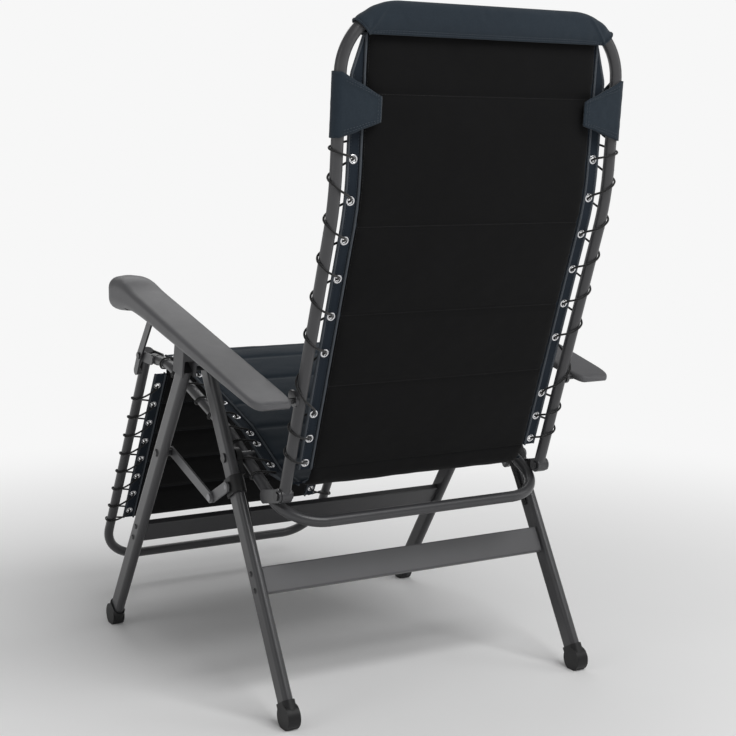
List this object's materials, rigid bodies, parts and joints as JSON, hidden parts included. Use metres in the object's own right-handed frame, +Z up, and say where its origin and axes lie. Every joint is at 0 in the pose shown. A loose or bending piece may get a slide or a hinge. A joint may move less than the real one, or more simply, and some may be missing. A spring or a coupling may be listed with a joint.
{
  "type": "zero gravity recliner",
  "caption": "Folding zero gravity camping recliner: padded panels laced in a bent tube frame, sliding armrests, folding legs.",
  "frame": {"origin": "on the floor, at the centre of the bounding box", "axes": "+Z up, -Y the way the sitter faces, +X to the sitter's left"},
  "size_m": [0.724, 1.1429, 1.1871],
  "materials": {
    "frame_paint": "satin anthracite powder coat",
    "light_paint": "satin grey powder coat",
    "brace_steel": "satin grey",
    "rivet_steel": "plain",
    "dark_hardware": "black",
    "black_plastic": "fine texture",
    "arm_plastic": "fine texture",
    "bright_metal": "plain",
    "eyelet_metal": "polished",
    "elastic": "braided cover",
    "panel_fabric": "woven polyester",
    "navy_fabric": "woven polyester"
  },
  "bodies": {
    "rear_legs": {"rear_leg_left": "frame_paint", "rear_leg_right": "frame_paint", "rear_foot_left": "black_plastic", "rear_foot_right": "black_plastic", "seat_pivot_block_left": "black_plastic", "seat_pivot_block_right": "black_plastic", "rear_crossbar": "light_paint", "rear_crossbar_screws": "dark_hardware", "apex_bolts": "dark_hardware", "seat_pivot_bolts": "dark_hardware", "pivot_block_stays": "black_plastic"},
    "front_legs": {"front_leg_left": "frame_paint", "front_leg_right": "frame_paint", "front_foot_left": "black_plastic", "front_foot_right": "black_plastic", "front_crossbar": "frame_paint", "front_crossbar_screws": "dark_hardware", "brace_bolts": "dark_hardware"},
    "brace_collars": {"brace_collar_left": "black_plastic", "brace_collar_right": "black_plastic", "brace_collar_rivets": "rivet_steel"},
    "brace_rear_bars": {"brace_rear_bar_left": "brace_steel", "brace_rear_bar_right": "brace_steel", "brace_elbow_rivets": "rivet_steel"},
    "brace_front_bars": {"brace_front_bar_left": "brace_steel", "brace_front_bar_right": "brace_steel"},
    "seat": {"seat_frame": "frame_paint", "seat_pad": "navy_fabric", "seat_eyelets": "eyelet_metal", "seat_lacing_left": "elastic", "seat_lacing_right": "elastic"},
    "back": {"back_frame": "frame_paint", "back_pad": "panel_fabric", "back_eyelets": "eyelet_metal", "head_sleeve": "navy_fabric", "hip_pins": "dark_hardware", "armrest_rear_pins": "dark_hardware", "back_lacing_left": "elastic", "back_lacing_right": "elastic", "head_tab_left": "navy_fabric", "head_tab_right": "navy_fabric"},
    "leg_rest": {"leg_rest_frame": "frame_paint", "leg_rest_pad": "panel_fabric", "leg_rest_eyelets": "eyelet_metal", "knee_pins": "dark_hardware", "armrest_front_pins": "dark_hardware", "leg_rest_lacing_left": "elastic", "leg_rest_lacing_right": "elastic"},
    "armrests": {"armrest_left": "arm_plastic", "armrest_right": "arm_plastic", "armrest_channel_left": "bright_metal", "armrest_channel_right": "bright_metal"},
    "slide_shoes": {"slide_shoe_left": "arm_plastic", "slide_shoe_right": "arm_plastic"}
  },
  "joints": [
    {"name": "seat_tilt", "type": "hinge", "parent": "rear_legs", "child": "seat", "pos_m": [0, 0.19071, 0.42115], "axis": [-1, 0, 0], "range_deg": [0, 18]},
    {"name": "back_recline", "type": "hinge", "parent": "seat", "child": "back", "pos_m": [0, 0.34, 0.378], "axis": [-1, 0, 0], "range_deg": [0, 18.3]},
    {"name": "leg_rest_lift", "type": "hinge", "parent": "seat", "child": "leg_rest", "pos_m": [0, -0.275, 0.55], "axis": [-1, 0, 0], "range_deg": [0, 30.2]},
    {"name": "armrest_tilt", "type": "hinge", "parent": "back", "child": "armrests", "pos_m": [0, 0.402, 0.55], "axis": [-1, 0, 0], "range_deg": [-21.8, 0]},
    {"name": "slide_shoe_turn", "type": "hinge", "parent": "rear_legs", "child": "slide_shoes", "pos_m": [0, 0.105, 0.572], "axis": [-1, 0, 0], "range_deg": [0, 14.6]},
    {"name": "front_leg_fold", "type": "hinge", "parent": "rear_legs", "child": "front_legs", "pos_m": [0, 0.105, 0.572], "axis": [1, 0, 0], "range_deg": [0, 58]},
    {"name": "brace_collar_slide", "type": "slide", "parent": "rear_legs", "child": "brace_collars", "axis": [0, 0.494, -0.8695], "range_m": [0, 0.0973]},
    {"name": "brace_rear_turn", "type": "hinge", "parent": "brace_collars", "child": "brace_rear_bars", "pos_m": [0, 0.21714, 0.37463], "axis": [1, 0, 0], "range_deg": [0, 117.8]},
    {"name": "brace_front_turn", "type": "hinge", "parent": "brace_rear_bars", "child": "brace_front_bars", "pos_m": [0, 0.15914, 0.34563], "axis": [1, 0, 0], "range_deg": [-145.7, 0]}
  ],
  "couplings": [
    {"joint": "back_recline", "follows": "seat_tilt", "ratio": 1.0135},
    {"joint": "leg_rest_lift", "follows": "seat_tilt", "ratio": 1.673},
    {"joint": "armrest_tilt", "follows": "seat_tilt", "ratio": -1.2046},
    {"joint": "slide_shoe_turn", "follows": "seat_tilt", "ratio": 0.8089},
    {"joint": "brace_collar_slide", "follows": "front_leg_fold", "m_per_rad": 0.095988},
    {"joint": "brace_rear_turn", "follows": "front_leg_fold", "ratio": 2.0286},
    {"joint": "brace_front_turn", "follows": "front_leg_fold", "ratio": -2.509}
  ]
}
